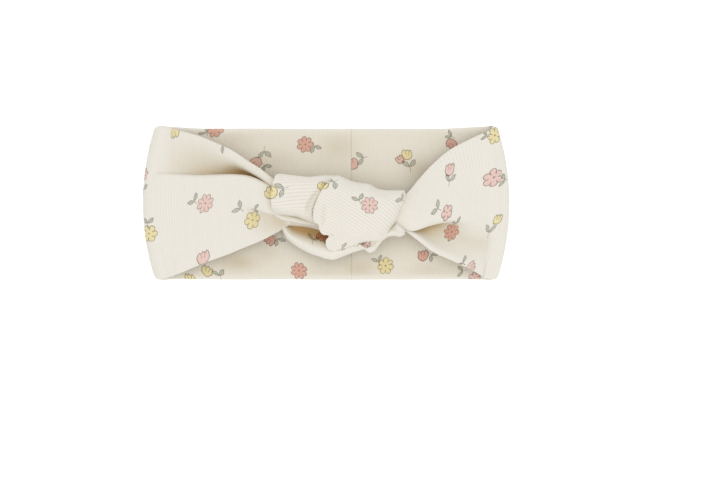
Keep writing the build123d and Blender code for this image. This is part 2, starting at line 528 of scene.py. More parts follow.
def motif_start(name):
    """The shared start of a printed motif: its own x and y and its line, in its own size."""
    tree, source, sink = new_group(name, MOTIF_INPUTS, {"Colour": "Color"})
    away = tree.vector("SUBTRACT", source["Position"], source["Spot"])
    inputs = {"Vector": away, "Angle": source["Turn"] * -1.0}
    turned = tree.node("ShaderNodeVectorRotate", inputs, rotation_type="Z_AXIS")
    x, y, _ = tree.split(turned.outputs[0])
    size = source["Size"]
    return tree, source, sink, x / size, y / size, LINE_HALF / size


def hypotenuse(a, b):
    return (a * a + b * b).do("SQRT")


def soft_line(distance, half):
    """1 on a drawn line of a given half width, fading over its border."""
    return distance.tree.within(abs(distance) / half, 1.0, 0.45)


def finish_motif(tree, source, sink, shape, strokes):
    """Lays the fill inside the shape, then the strokes, on the cloth."""
    inside = tree.within(shape, 0.0, 0.03)
    colour = tree.mix(inside, source["Cloth"], source["Fill"], "MULTIPLY")
    ink = strokes[0]
    for stroke in strokes[1:]:
        ink = ink.do("MAXIMUM", stroke)
    tree.fill(sink[0], tree.mix(ink * INK_STRENGTH, colour, source["Line"], "MULTIPLY"))


def daisy_group():
    """A daisy: round petals about a dotted middle."""
    tree, source, sink, x, y, line = motif_start("printed_daisy")
    radius = hypotenuse(x, y)
    sector = 2 * math.pi / source["Petals"]
    half = sector / 2.0
    angle = y.do("ARCTAN2", x) + 4 * math.pi
    folded = angle.do("FLOORED_MODULO", sector) - half
    petal_x = radius * folded.do("COSINE")
    petal_y = radius * folded.do("SINE") * (source["Petals"] / 6.6)
    petal = hypotenuse(petal_x - 0.69, petal_y) - 0.31
    shape = petal.do("MINIMUM", radius - 0.58)
    border = radius * (half - abs(folded)).do("SINE")
    cleft = soft_line(border, line * 0.7) * tree.within(abs(radius - 0.52), 0.11, 0.05)
    dot = tree.within(radius, 0.11, 0.04)
    finish_motif(tree, source, sink, shape, [soft_line(shape, line), cleft, dot])


def tulip_group():
    """A tulip bloom: an egg-shaped cup with three tips at its top."""
    tree, source, sink, x, y, line = motif_start("printed_tulip")
    egg = (hypotenuse(x / 0.80, (y + 0.08) / 0.88) - 1.0) * 0.72
    wave = (x * (2 * math.pi / 0.56)).do("COSINE")
    tips = (y - (0.52 + wave * 0.10)) * 0.62
    shape = egg.do("MAXIMUM", tips)
    curve = 0.14 + (y + 0.3) * 0.21
    inner = soft_line(abs(x) - curve, line * 0.7) * tree.within(shape, -0.03, 0.02)
    inner = inner * tree.within(y * -1.0, 0.22, 0.06)
    finish_motif(tree, source, sink, shape, [soft_line(shape, line), inner])


def leaves_group():
    """Two pointed leaves on a short stem."""
    tree, source, sink, x, y, line = motif_start("printed_leaves")
    side = abs(x)
    cos, sin = math.cos(LEAF_SPREAD), math.sin(LEAF_SPREAD)
    across = side * cos - y * sin
    along = side * sin + y * cos
    middle = (along - 0.62) / 0.52
    shape = abs(across) - (1.0 - middle * middle) * 0.23
    edge = soft_line(shape, line) * tree.within(abs(middle), 1.06, 0.03)
    vein = soft_line(across, line * 0.6) * tree.within(abs(middle), 0.75, 0.05)
    stem = soft_line(x, line * 0.8) * tree.within(abs(y + 0.15), 0.42, 0.03)
    finish_motif(tree, source, sink, shape, [edge, vein, stem])


def knit_group():
    """The knit itself: ribs, the rows that cross them and a little loose fibre, with shade painted
    into the valleys between ribs and rows.
    """
    inputs = {"Rib": 0.0, "Position": "Vector", "Cream": "Color", "Valley": "Color",
              "Valley Strength": 0.5, "Row Strength": 0.3}
    tree, source, sink = new_group("rib_knit_cloth", inputs,
                                   {"Colour": "Color", "Height": "Float"})
    valley = (1.0 - abs((source["Rib"] * math.pi).do("SINE"))) ** 2.6
    loops = (tree.split(source["Position"])[1] * (2 * math.pi / ROW_PITCH)).do("SINE")
    row = 1.0 - abs(loops) ** 0.8
    patchy, _ = tree.noise(source["Position"], 0.55, 3.0)
    fibre, _ = tree.noise(source["Position"], 5.5, 3.0, 0.65)
    # painted shade: the valleys between ribs and between rows are darkened towards the valley
    # colour
    shade = valley * source["Valley Strength"] + row * source["Row Strength"]
    shade = shade.do("MULTIPLY", 0.72 + patchy * 0.56, clamp=True)
    colour = tree.mix(shade, source["Cream"], source["Valley"])
    fleck = 0.955 + fibre * 0.09
    bright = tree.node("ShaderNodeCombineColor", {0: fleck, 1: fleck, 2: fleck}).outputs[0]
    tree.fill(sink["Colour"], tree.mix(1.0, colour, bright, "MULTIPLY"))
    tree.fill(sink["Height"], row * -0.5 + fibre * 0.5)


def fold_group():
    """Paints warm, dark shade into the cloth where it lies deep among its neighbours."""
    inputs = {"Cloth": "Color", "Hollow": "Color", "Deep": "Color", "Strength": 1.0, "Depth": 0.0}
    tree, source, sink = new_group("fold_warmth", inputs, {"Colour": "Color"})
    # painted shade from ambient occlusion, added to the painted depth given on each point, then
    # deeper still in the deepest folds
    open_sky = tree.node("ShaderNodeAmbientOcclusion", {"Distance": HOLLOW_REACH}, samples=8)
    shaded = tree.maths("SUBTRACT", 1.0, open_sky.outputs["AO"], clamp=True)
    depth = shaded ** 0.9 * 0.5 * source["Strength"]
    depth = depth.do("ADD", source["Depth"], clamp=True)
    warm_painted_shade = tree.mix(depth, source["Cloth"], source["Hollow"], "MULTIPLY")
    deepest = (depth - 0.4).do("MULTIPLY", 1.7, clamp=True)
    tree.fill(sink["Colour"], tree.mix(deepest, warm_painted_shade, source["Deep"], "MULTIPLY"))


# ---------------------------------------------------------------- materials


DRAWN_WOBBLE = 1.1
YARN_RELIEF = 0.00012


def new_material(name):
    """A material, its tree and its shader."""
    material = bpy.data.materials.new(name)
    material.use_nodes = True
    return material, Tree(material.node_tree), material.node_tree.nodes["Principled BSDF"]


def knit_surface(tree, surface, inputs, roughness):
    """Gives a shader the relief of the knit, and returns the knit's colour."""
    knit = tree.group("rib_knit_cloth", inputs)
    bump = tree.node("ShaderNodeBump", {"Strength": 0.5, "Distance": YARN_RELIEF,
                                        "Height": knit["Height"]})
    tree.fill(surface.inputs["Normal"], bump.outputs[0])
    surface.inputs["Roughness"].default_value = roughness
    return knit["Colour"]


def cloth_material(name, cloth, motifs, valley_shade_strength, row_shade_strength, painted_shade_strength):
    """Rib knit with the printed motifs of one piece, each at its place on the cloth, and painted
    shade in its valleys and folds.
    """
    colours = bpy.context.scene.headband_colours
    material, tree, surface = new_material(name)
    cloth_map = tree.node("ShaderNodeUVMap", uv_map="cloth")
    position = tree.scaled(cloth_map.outputs[0], 1 / PLAN_TO_MAP)
    # hollow gives each point's painted fold shade; inner picks the inner face's tone, which
    # carries painted shade
    rib, inner, deep = (tree.node("ShaderNodeAttribute", attribute_name=label).outputs["Fac"]
                        for label in ("rib", "inner", "hollow"))
    colour = knit_surface(tree, surface, {
        "Rib": rib, "Position": position, "Valley": colour4(colours.valley),
        "Cream": tree.mix(inner, colour4(colours.cream), colour4(colours.inside)),
        "Valley Strength": valley_shade_strength, "Row Strength": row_shade_strength,
    }, 0.92)
    wobble = tree.vector("SUBTRACT", tree.noise(position, 0.42)[1], (0.5, 0.5, 0.5))
    drawn = tree.vector("ADD", position, tree.scaled(wobble, DRAWN_WOBBLE))
    for kind, x, y, size, angle, *finish in motifs:
        fill, petals = finish + ["leaf", 0][len(finish):]
        spot, onto = cloth.place(x, y)
        way = onto @ (math.cos(math.radians(angle)), math.sin(math.radians(angle)))
        colour = tree.group(f"printed_{kind}", {
            "Cloth": colour, "Position": drawn, "Spot": (spot[0], spot[1], 0.0),
            "Turn": math.atan2(way[1], way[0]) - math.pi / 2, "Size": size,
            "Petals": float(petals), "Fill": colour4(getattr(colours, fill)),
            "Line": colour4(colours.outline),
        })["Colour"]
    # painted fold shade laid over the knit and the print
    colour = tree.group("fold_warmth", {
        "Cloth": colour, "Hollow": colour4(colours.hollow), "Deep": colour4(colours.deep),
        "Strength": painted_shade_strength, "Depth": deep,
    })["Colour"]
    tree.fill(surface.inputs["Base Color"], colour)
    surface.inputs["Specular IOR Level"].default_value = 0.2
    surface.inputs["Sheen Weight"].default_value = 0.25
    surface.inputs["Sheen Roughness"].default_value = 0.5
    return material


def thread_material():
    """Spun sewing thread, its fine twist shown by bands of painted shade in the grooves between
    the plies.
    """
    material, tree, surface = new_material("sewing_thread")
    place = tree.node("ShaderNodeTexCoord").outputs["Object"]
    twist = tree.node("ShaderNodeTexWave", {"Vector": place, "Scale": 900.0},
                      bands_direction="DIAGONAL")
    colour = colour4(bpy.context.scene.headband_colours.thread)
    # painted shade in the grooves between the plies
    ply_groove_shade = tuple(0.8 * c for c in colour[:3]) + (1.0,)
    tree.fill(surface.inputs["Base Color"], tree.mix(twist.outputs["Fac"], ply_groove_shade, colour))
    surface.inputs["Roughness"].default_value = 0.6
    return material


def seam_material():
    """The allowance of the centre back seam, in the knit of the inner face."""
    colours = bpy.context.scene.headband_colours
    material, tree, surface = new_material("seam_allowance_knit")
    position = tree.scaled(tree.node("ShaderNodeTexCoord").outputs["Object"], 1000.0)
    colour = knit_surface(tree, surface, {
        "Rib": tree.split(position)[1], "Position": position,
        "Cream": colour4(colours.inside), "Valley": colour4(colours.valley),
    }, 0.9)
    tree.fill(surface.inputs["Base Color"], colour)
    return material


# ---------------------------------------------------------------- the print of each piece
# kind, x and y in plan, size, direction of the top in degrees, then colour and petals


BACK_LEFT_PRINT = [
    ("daisy", -55.1, 36.9, 4.4, 80, "coral", 8), ("leaves", -60.0, 34.6, 3.4, 130),
    ("tulip", -35.6, 19.6, 3.5, 215, "rose"), ("leaves", -30.8, 26.0, 4.2, -90),
    ("leaves", -31.0, 18.8, 3.4, -55), ("daisy", -10.6, 29.2, 4.1, 60, "coral", 7),
    ("leaves", -6.0, 28.6, 3.6, -70), ("tulip", -59.3, -33.6, 3.4, 70, "yellow"),
    ("tulip", -68.0, -37.4, 3.2, 100, "yellow"), ("leaves", -53.0, -36.6, 3.8, 110),
    ("tulip", -28.4, -18.8, 3.3, 230, "coral"), ("leaves", -24.4, -17.6, 3.8, -60),
    ("daisy", -13.6, -33.9, 4.2, 90, "coral", 8),
]
BACK_RIGHT_PRINT = [
    ("tulip", 12.9, 20.0, 3.4, 120, "rose"), ("leaves", 18.6, 22.6, 3.9, 190),
    ("tulip", 40.3, 24.6, 3.1, 90, "yellow"), ("tulip", 36.6, 21.9, 2.6, 130, "rose"),
    ("leaves", 41.8, 17.8, 4.2, 100), ("tulip", 62.4, 29.0, 3.3, 250, "coral"),
    ("leaves", 62.6, 33.2, 3.2, 150), ("daisy", 29.6, -31.4, 4.1, 100, "yellow", 7),
    ("leaves", 26.0, -29.4, 3.4, 110), ("tulip", 48.3, -25.7, 3.2, 100, "coral"),
    ("leaves", 52.2, -25.8, 3.4, -40), ("leaves", 68.4, -33.8, 3.4, 190),
    ("daisy", 74.0, -37.2, 3.2, 90, "pink", 6),
]
LEFT_WING_PRINT = [
    ("tulip", -75.2, 34.4, 4.0, -90, "yellow"), ("leaves", -51.0, 28.4, 3.6, -50),
    ("daisy", -90.4, 14.2, 3.6, 90, "pink", 8), ("leaves", -90.6, 6.0, 3.4, 90),
    ("daisy", -59.6, -0.4, 4.4, 80, "pink", 8), ("leaves", -64.8, 0.4, 3.8, 130),
    ("daisy", -36.3, -8.6, 4.3, 70, "yellow", 6), ("leaves", -42.2, -3.2, 4.1, 150),
    ("leaves", -35.4, -3.4, 2.9, 10), ("daisy", -87.8, -15.4, 4.1, 60, "yellow", 6),
    ("leaves", -88.4, -10.6, 3.4, 90), ("tulip", -60.8, -26.6, 3.9, 95, "pink"),
    ("tulip", -27.8, 5.6, 3.8, 130, "yellow"),
]
RIGHT_WING_PRINT = [
    ("daisy", 83.6, 33.4, 3.8, 20, "yellow", 6), ("leaves", 79.6, 33.0, 2.5, 165),
    ("tulip", 61.1, 16.8, 3.2, 90, "pink"), ("leaves", 61.0, 10.4, 3.8, 80),
    ("daisy", 83.0, 12.4, 4.2, 90, "pink", 6), ("leaves", 88.8, 11.4, 3.3, 180),
    ("daisy", 59.6, -5.0, 3.2, 90, "pink", 5), ("leaves", 55.4, -3.2, 3.8, 150),
    ("daisy", 62.3, -14.4, 4.2, 90, "coral", 8), ("leaves", 64.4, -10.4, 2.9, 90),
    ("tulip", 85.2, -7.9, 2.7, 70, "yellow"), ("leaves", 80.6, -15.0, 4.2, 75),
    ("tulip", 71.9, -31.9, 3.3, 40, "pink"), ("leaves", 68.0, -30.0, 3.0, 120),
]
LEFT_WRAP_PRINT = [
    ("tulip", -27.0, 5.4, 3.8, 130, "yellow"), ("leaves", -20.4, 6.8, 4.4, 200),
    ("tulip", -1.6, 8.4, 2.6, 50, "yellow"),
]
COVER_PRINT = [
    ("tulip", -0.6, 8.8, 2.6, 50, "yellow"), ("leaves", 4.4, 10.2, 4.3, 210),
    ("daisy", 21.4, -1.6, 4.2, 90, "pink", 8), ("leaves", 16.4, 0.6, 3.6, 110),
    ("leaves", 37.6, 1.4, 4.4, 130), ("leaves", 36.4, -6.6, 3.6, -80),
    ("leaves", 31.4, -15.4, 3.8, 60), ("leaves", 7.6, -23.0, 3.8, 20),
]
LOOP_PRINT = [
    ("tulip", -1.9, -17.4, 3.8, 240, "coral"), ("leaves", -6.4, -18.6, 3.8, 80),
]
TAIL_PRINT = [
    ("daisy", 19.8, -20.2, 2.3, 90, "pink", 6), ("leaves", 16.2, -20.6, 3.6, 60),
]


# Spots of painted shade on the inner face of the back: x, y, reach along x and y, and how dark.
BACK_PAINTED_SHADE_SPOTS = [
    (6.0, 28.0, 9.0, 6.0, 0.28), (46.0, 17.0, 7.0, 6.0, 0.30), (-24.0, 22.0, 9.0, 4.0, 0.16),
    (-44.0, 32.0, 8.0, 3.0, 0.14), (-43.0, -30.0, 9.0, 4.0, 0.42), (-29.0, -25.0, 6.0, 4.0, 0.20),
    (16.5, -32.5, 9.0, 4.0, 0.36), (50.0, -33.5, 9.0, 3.0, 0.22), (-2.0, -33.0, 7.0, 5.0, 0.12),
]


# ---------------------------------------------------------------- shapes


def fold_ring(side, angle, y, thickness, tuck=0.0):
    """A point on the middle of the side fold, from 0 at its outermost line up to 90 degrees."""
    ring = SIDE_BULGE_RADIUS - FOLD_TOP / 2
    turn = FOLD_TOP / 2 - thickness / 2 - tuck
    reach = ring + turn * math.cos(math.radians(angle))
    x = HALF_LENGTH - SIDE_BULGE_RADIUS + math.sqrt(reach**2 - y**2)
    return (side * x, y, FOLD_TOP / 2 + turn * math.sin(math.radians(angle)))


def fold_stations(side, angles, across, thickness, pull_low, pull_high):
    """Lines across the side fold, from its start tucked inside the back up to the wing.

    The pulls draw its two edges in as it turns up.
    """
    stations = []
    for angle in angles:
        tuck = WING_TUCK * (max(0, 2 - angle) / 14) ** 1.5
        up = max(angle, 0) / 90
        low, high = -HALF_WIDTH + pull_low * up**2, HALF_WIDTH - pull_high * up**2
        share = (np.array(across) + HALF_WIDTH) / (2 * HALF_WIDTH)
        places = low + (high - low) * share
        stations.append([fold_ring(side, angle, y, thickness, tuck) for y in places])
    return stations


def round_corners(middle, radius=2.4):
    """Rounds the corners where the side folds end at the edges of the band."""
    x, y = middle[..., 0], middle[..., 1]
    past = np.clip((np.abs(y) - (HALF_WIDTH - radius)) / radius, 0, 1)
    inset = radius * (1 - np.sqrt(1 - past**2))
    near = np.clip((np.abs(x) - 76) / 7, 0, 1)
    middle[..., 0] -= np.sign(x) * inset * near**2 * (3 - 2 * near)
    return middle


def back_cloth(side, sizes):
    """Half of the back, from the seam to the outermost line of the side fold."""
    thickness = BACK_TOP
    across = np.linspace(-HALF_WIDTH, HALF_WIDTH, 9)
    stations = []
    for share in (0.0, 0.01, 0.3, 0.6, 0.85, 1.0):
        row = []
        for y in across:
            x_end = fold_ring(side, -90, y, thickness)[0]
            x = SEAM_X + (x_end - SEAM_X) * share
            row.append((x, y, thickness / 2, 0))
        stations.append(row)
    for angle in (-75, -60, -45, -30, -15, 0):
        thinned = 1 + angle / 90
        local = thickness + (sizes.wing_thickness - thickness) * thinned
        stations.append([(*fold_ring(side, angle, y, local), thinned) for y in across])
    if side < 0:
        stations = [row[::-1] for row in stations]
    length = abs(side * HALF_LENGTH - SEAM_X)
    middle = lofted(stations, int(length * POINTS_PER_MM), 56, 0.85)
    middle, thinned = middle[..., :3], middle[..., 3]
    thickness = thickness + (sizes.wing_thickness - thickness) * thinned
    wave = gentle(middle, 26.0, 0.28, 1 if side < 0 else 2)
    free = np.clip((np.abs(middle[..., 0]) - 84) / -10, 0, 1)
    share = middle[..., 1] / HALF_WIDTH
    middle[..., 1] += wave * free * np.abs(share)
    slack = np.clip((86 - np.abs(middle[..., 0])) / 30, 0, 1)
    middle[..., 1] -= 1.2 * np.clip(share, 0, 1) ** 3 * slack**2 * (3 - 2 * slack)
    cloth = sheet_cloth(middle, thickness, sizes.rib_pitch, sizes.rib_depth, crest=-1,
                        top_round=BACK_EDGE_ROUND, corners=True)
    seam_turn(cloth, middle)
    near = HALF_WIDTH * (1 - np.abs(share))
    # painted light at the rounded long edges takes back painted fold shade there; the spots add
    # painted shade
    cloth.hollow = -0.8 * np.exp(-((near / 1.4) ** 2)) + back_painted_shade(middle)
    # the inner face's tone with its painted shade, and cream where the edges turn over
    cloth.inner = np.clip((near - 0.3) / 1.6, 0, 1)
    return cloth


def back_painted_shade(middle):
    """Soft spots of painted shade on the inner face between the folds."""
    x, y = middle[..., 0], middle[..., 1]
    depth = 0 * x
    for spot_x, spot_y, reach_x, reach_y, amount in BACK_PAINTED_SHADE_SPOTS:
        depth += amount * np.exp(-(((x - spot_x) / reach_x) ** 2) - ((y - spot_y) / reach_y) ** 2)
    return depth


def seam_turn(cloth, middle):
    """Rounds the cloth down into the groove of the centre back seam."""
    away = np.abs(middle[..., 0] - SEAM_X)
    drop = 0.2 * np.exp(-((away / 0.3) ** 2)) - 0.16 * np.exp(-(((away - 1.2) / 0.8) ** 2))
    cloth.upper[..., 2] -= drop


# x, how far the row leans, then y, height and painted fold shade from edge to lip
LEFT_WING_ROWS = [
    (-73.5, 1.2, [(-35.0, 0), (-29.5, 0), (-23, 0), (-16, 0.1), (-9, 0.2), (-1, 0.5), (8, 1.0),
     (13.0, 1.2), (14.2, -0.4, 0.20), (20.5, -0.7, 0.20), (31, 0.2, 0.05), (36.2, 0.4)]),
    (-62.5, 1.6, [(-30.2, 0), (-25, 0.2), (-20, 0.4), (-14, 0.7), (-8, 0.9), (0, 1.4), (8, 2.1),
     (12.6, 2.3), (13.2, -0.8, 0.30), (18, -1.0, 0.34), (28.6, 2.0, 0.12), (33.4, 1.9)]),
    (-51.5, 2.2, [(-26.0, 0.2), (-21, 0.5), (-15, 0.9), (-8, 1.2), (-1, 1.8), (4.4, 2.7),
     (10, 3.5), (13.0, 3.6), (12.8, -0.9, 0.34), (16.0, -0.8, 0.38), (24.0, 3.6, 0.16),
     (29.2, 3.2)]),
    (-43.0, 2.8, [(-22.2, 0.5), (-17, 1.0), (-11, 1.4), (-4.4, 1.5), (0.2, 3.0), (5.4, 4.1),
     (10.6, 4.8), (13.0, 4.6), (12.9, -0.7, 0.55), (16.2, -0.5, 0.6), (20.8, 4.3, 0.12),
     (25.5, 4.4)]),
    (-36.0, 2.8, [(-19.4, 0.9), (-14.6, 1.5, 0.1), (-9.4, 1.9, 0.16), (-4.4, 1.9, 0.2),
     (-1.8, 3.8), (3.4, 5.3), (9.6, 5.7), (12.1, 5.0), (12.2, 0.5, 1.0), (14.9, 0.8, 1.0),
     (16.7, 5.2, 0.2), (20.8, 5.2)]),
    (-30.0, 2.4, [(-16.6, 1.4, 0.06), (-13.0, 2.1, 0.24), (-9.2, 2.4, 0.32), (-5.6, 2.7, 0.3),
     (-3.8, 4.6), (1.2, 6.1), (6.0, 6.4), (9.5, 5.8), (9.7, 1.8, 1.0), (11.6, 2.2, 1.0),
     (12.9, 6.4, 0.2), (16.7, 6.0)]),
    (-22.0, 1.6, [(-12.6, 2.0, 0.3), (-10.6, 2.7, 0.4), (-8.4, 3.0, 0.4), (-6.4, 3.4, 0.3),
     (-4.8, 4.6), (-0.8, 6.0), (2.2, 6.4), (4.6, 5.8), (4.8, 3.8), (5.4, 4.6), (6.8, 6.4),
     (9.8, 5.6)]),
    (-18.6, 1.0, [(-10.3, 2.2), (-9.4, 2.7), (-7.8, 3.0), (-6.0, 3.4), (-4.6, 4.4), (-1.4, 5.4),
     (1.6, 5.8), (3.8, 5.4), (4.2, 4.2), (4.7, 4.6), (5.8, 5.8), (8.0, 5.2)]),
]


def left_wing_cloth(sizes):
    """The left wing: flat at the side fold, gathered into a ridge and a rolled lip at the knot."""
    t = sizes.wing_thickness
    across = (-38.3, -31, -24, -17, -10, -2, 6, 13.0, 15.4, 26, 34, 38.3)
    stations = fold_stations(-1, (-12, -5, 2, 22, 45, 68, 90), across, t, 0.6, 0.6)
    flat = FOLD_TOP - t / 2
    first = fold_stations(-1, (90,), across, t, 1.3, 0.7)[0]
    rise = (0, 0, 0, 0, 0, 0.1, 0.3, 0.6, -0.5, -0.2, 0, 0)
    stations.append([(x + 2.6, y, flat + z) for (x, y, _), z in zip(first, rise)])
    for x, lean, row in LEFT_WING_ROWS:
        centre, half = (row[0][0] + row[-1][0]) / 2, (row[-1][0] - row[0][0]) / 2
        stations.append([(x - lean * (p[0] - centre) / half, p[0], flat + p[1], *p[2:])
                         for p in row])
    middle, hollow = with_painted_shade(stations, 520, 90)
    cloth = sheet_cloth(middle, t, sizes.rib_pitch, sizes.rib_depth, corners=True)
    # painted shade in the fold under the lip, strongest by the knot
    cloth.hollow = hollow
    return cloth


# x, y, height and painted fold shade, from the lip to the upper edge
RIGHT_WING_ROWS = [
    [(77.0, -36.2, 0.3), (77.2, -33, 0.5), (77.6, -26, 0.2, 0.05), (78.4, -19.6, -0.9, 0.2),
     (78.4, -15.6, -0.5, 0.1), (77.0, -9, 0.8), (76.4, -3, 1.1), (75.4, 3.4, 1.1),
     (74.2, 10.4, 1.0), (72.8, 18.4, 0.8), (71.6, 26.4, 0.4), (71.0, 31.4, 0.2)],
    [(70.6, -32.6, 0.6), (70.9, -30.6, 0.9), (71.2, -25, -0.1, 0.1), (71.4, -19, -0.9, 0.24),
     (71.0, -13.4, -0.6, 0.1), (70.2, -8.7, 1.5), (69.0, -4, 2.5), (67.4, 2.0, 2.7),
     (65.4, 9, 2.4), (63.4, 16.2, 1.9), (61.8, 22.4, 1.3), (61.2, 26.2, 0.8)],
    [(62.0, -28.6, 0.9), (62.4, -27.0, 1.4), (63, -21.4, -0.3, 0.2), (62.6, -14.4, -0.9, 0.34),
     (61.8, -10.0, -0.3, 0.3), (61.0, -8.5, 2.7), (60, -5.4, 4.1), (58.8, -0.6, 4.4),
     (57.0, 5.6, 4.0), (55.2, 12, 3.2), (53.7, 16.6, 2.3), (52.9, 19.2, 1.5)],
    [(52.4, -24.0, 1.3), (52.8, -22.6, 1.8), (53.2, -18.4, -0.3, 0.3), (52.6, -13.4, -1.0, 0.5),
     (51.6, -9.6, 0, 0.7), (51.0, -10.8, 3.3), (50.4, -8.6, 5.1), (49.4, -4.2, 5.6),
     (48.4, 1.0, 5.2), (47.2, 5.8, 4.3), (46.3, 9.2, 3.1), (45.8, 11.4, 2.2)],
    [(44.0, -17.6, 1.8), (44.4, -16.4, 2.2), (44.8, -14.4, 0.5, 0.4), (44.4, -12.2, 0, 0.7),
     (43.4, -10.4, 1.2, 0.8), (43.2, -13.2, 4.0), (42.6, -11.4, 5.8), (41.9, -7.6, 6.5),
     (41.3, -3.4, 6.4), (40.7, 0, 5.6), (40.3, 2.6, 4.4), (40.1, 4.6, 3.4)],
    [(38.0, -13.4, 2.4), (38.2, -12.8, 2.7), (38.2, -12.2, 2.0), (37.8, -11.4, 2.2),
     (37.4, -10.6, 3.0), (37.2, -12.0, 4.4), (36.6, -10.2, 5.4), (36.0, -7.4, 5.8),
     (35.6, -4.2, 5.6), (35.4, -1.6, 5.2), (35.2, 0.6, 4.6), (35.2, 2.6, 4.0)],
    [(33.0, -12.4, 2.4), (33.0, -12.0, 2.7), (33.0, -11.6, 2.2), (33.0, -11, 2.2),
     (33.0, -10.4, 2.8), (33.0, -11.0, 3.8), (33.0, -9.6, 4.6), (33.0, -7.2, 4.8),
     (33.0, -4.2, 4.8), (33.0, -1.8, 4.6), (33.0, 0.2, 4.2), (33.0, 2.0, 3.8)],
]


def right_wing_cloth(sizes):
    """The right wing: an upper lobe that folds over a hollow, and a lower lip."""
    t = sizes.wing_thickness
    across = (-38.3, -34, -27, -20, -14, -9, -3, 3.6, 10.4, 18.4, 28, 38.3)
    stations = fold_stations(1, (-12, -5, 2, 22, 45, 68, 90), across, t, 0.5, 2.6)
    flat = FOLD_TOP - t / 2
    first = fold_stations(1, (90,), across, t, 0.9, 3.4)[0]
    rise = (0.1, 0.2, 0.2, -0.3, -0.1, 0.3, 0.4, 0.4, 0.4, 0.3, 0.2, 0)
    stations.append([(x - 2.4, y, flat + z) for (x, y, _), z in zip(first, rise)])
    stations += [[(p[0], p[1], flat + p[2], *p[3:]) for p in row] for row in RIGHT_WING_ROWS]
    middle, hollow = with_painted_shade([row[::-1] for row in stations], 490, 90)
    cloth = sheet_cloth(middle, t, sizes.rib_pitch, sizes.rib_depth, corners=True,
                        lean=RIGHT_RIB_LEAN)
    # painted shade in the hollow under the upper lobe and near the knot
    cloth.hollow = hollow
    return cloth


def left_wrap_cloth(sizes):
    """The wrap at the left of the knot, with level ribs and two folds where it goes under."""
    plan = patch(
        [(-24.6, 13.9), (-22.4, 14.2), (-16.6, 13.5), (-8.1, 12.7), (-1, 13.4), (6.5, 13.2)],
        [(6.5, 13.2), (4.2, 8), (1.6, 2), (-0.6, -4), (-1.6, -8.5), (-2.2, -12.1)],
        [(-25.4, -5.0), (-22.5, -6.1), (-19.7, -6.4), (-14, -7.3), (-11.3, -8.4), (-7.6, -10.0),
         (-4.4, -11.3), (-2.2, -12.1)],
        [(-24.6, 13.9), (-25.6, 10.8), (-26.6, 5.7), (-26.9, 1.5), (-26.5, -2.4), (-25.4, -5.0)],
        130, 112,
    )
    x, y = plan[..., 0], plan[..., 1]
    crown = KNOT_TOP - 3.6 - 0.008 * (x + 12) ** 2 - 0.012 * (y - 2) ** 2
    crown = crown + 1.3 * np.exp(-(((x + 4) / 6) ** 2 + ((y - 9) / 6) ** 2))
    creases = [
        ([(-3.6, 5.6), (-6.6, 1.6), (-8.6, -2.4), (-8.9, -6.8)], 1.0, 1.1),
        ([(-0.2, 5.0), (-3.2, 1.0), (-4.9, -2.9), (-5.4, -6.5), (-4.6, -10.4)], 1.8, 0.9),
        ([(-26.5, 3.0), (-20, 4.2), (-12, 3.4)], 0.4, 1.4),
    ]

    def ribs(x, y):
        bend = np.exp(-(((x + 5) / 5) ** 2))
        level = y - 0.075 * (x + 25) + 0.004 * (x + 25) * (y - 4)
        level = level - bend * 0.45 * (x + 8) * np.clip((4 - y) / 10, 0, 1.2)
        return level + gentle(np.dstack([x, y, 0 * x]), 12.0, 0.4, 5)

    return wrap_cloth(plan, KNOT_LOW + 3.4, KNOT_LOW, crown, 5.0, ribs,
                      1.22 * sizes.knot_rib_pitch, sizes.knot_rib_depth, creases)


def cover_cloth(sizes):
    """The strand that crosses over the front of the knot, its ribs running down to the right."""
    plan = patch(
        [(5.4, 13.6), (8.6, 12.4), (12.9, 10.5), (17.5, 9.6), (21.8, 9.0), (25.4, 6.9), (30, 6.1),
         (36.6, 6.1), (38.9, 6.0)],
        [(38.9, 6.0), (39.5, 3.0), (39, -0.1), (38, -2.7), (36.7, -6), (35.3, -9), (32.7, -12.6),
         (30.2, -17.3)],
        [(4.7, -24.4), (8, -23.8), (10.9, -22.1), (13.6, -21.2), (16.9, -20), (20.2, -19.4),
         (25.4, -19.0), (28.1, -18.7), (30.2, -17.3)],
        [(5.4, 13.6), (1.8, 10.6), (-1.3, 7.0), (-3.4, 3.1), (-4.8, 0), (-5.9, -3), (-6.2, -6.5),
         (-5.7, -9.5), (-3.6, -11.1), (-3.2, -13.2), (-1.8, -15.6), (1.5, -16.6), (0.2, -18.4),
         (0, -20.8), (1.4, -23.3), (4.7, -24.4)],
        180, 176,
    )
    x, y = plan[..., 0], plan[..., 1]
    crown = KNOT_TOP - 0.1 - 0.0075 * (x - 9) ** 2 - 0.007 * (y + 4) ** 2
    crown = crown - 0.03 * np.clip(-9 - y, 0, None) ** 2
    creases = [
        ([(0.6, -16.8), (2.0, -16.2), (3.6, -15.2)], 0.8, 0.9),
        ([(-0.6, -0.5), (-1.4, -4), (-1.6, -8.8), (-2.4, -11.5)], 0.8, 1.0),
        ([(38.5, 3), (33, 1.2), (27, 1)], 0.5, 2.0),
        ([(37, -6), (31.5, -8), (26, -10.5)], 0.5, 1.8),
    ]

    def ribs(x, y):
        lines = y + 0.56 * x - 0.006 * x * y - 5.0 * np.exp(-(x**2 + (y + 22) ** 2) / 40)
        return lines + gentle(np.dstack([x, y, 0 * x]), 14.0, 0.5, 6)

    return wrap_cloth(plan, KNOT_LOW + 3.8, KNOT_LOW, crown, sizes.knot_roll, ribs,
                      1.04 * sizes.knot_rib_pitch, sizes.knot_rib_depth, creases, 0.62)


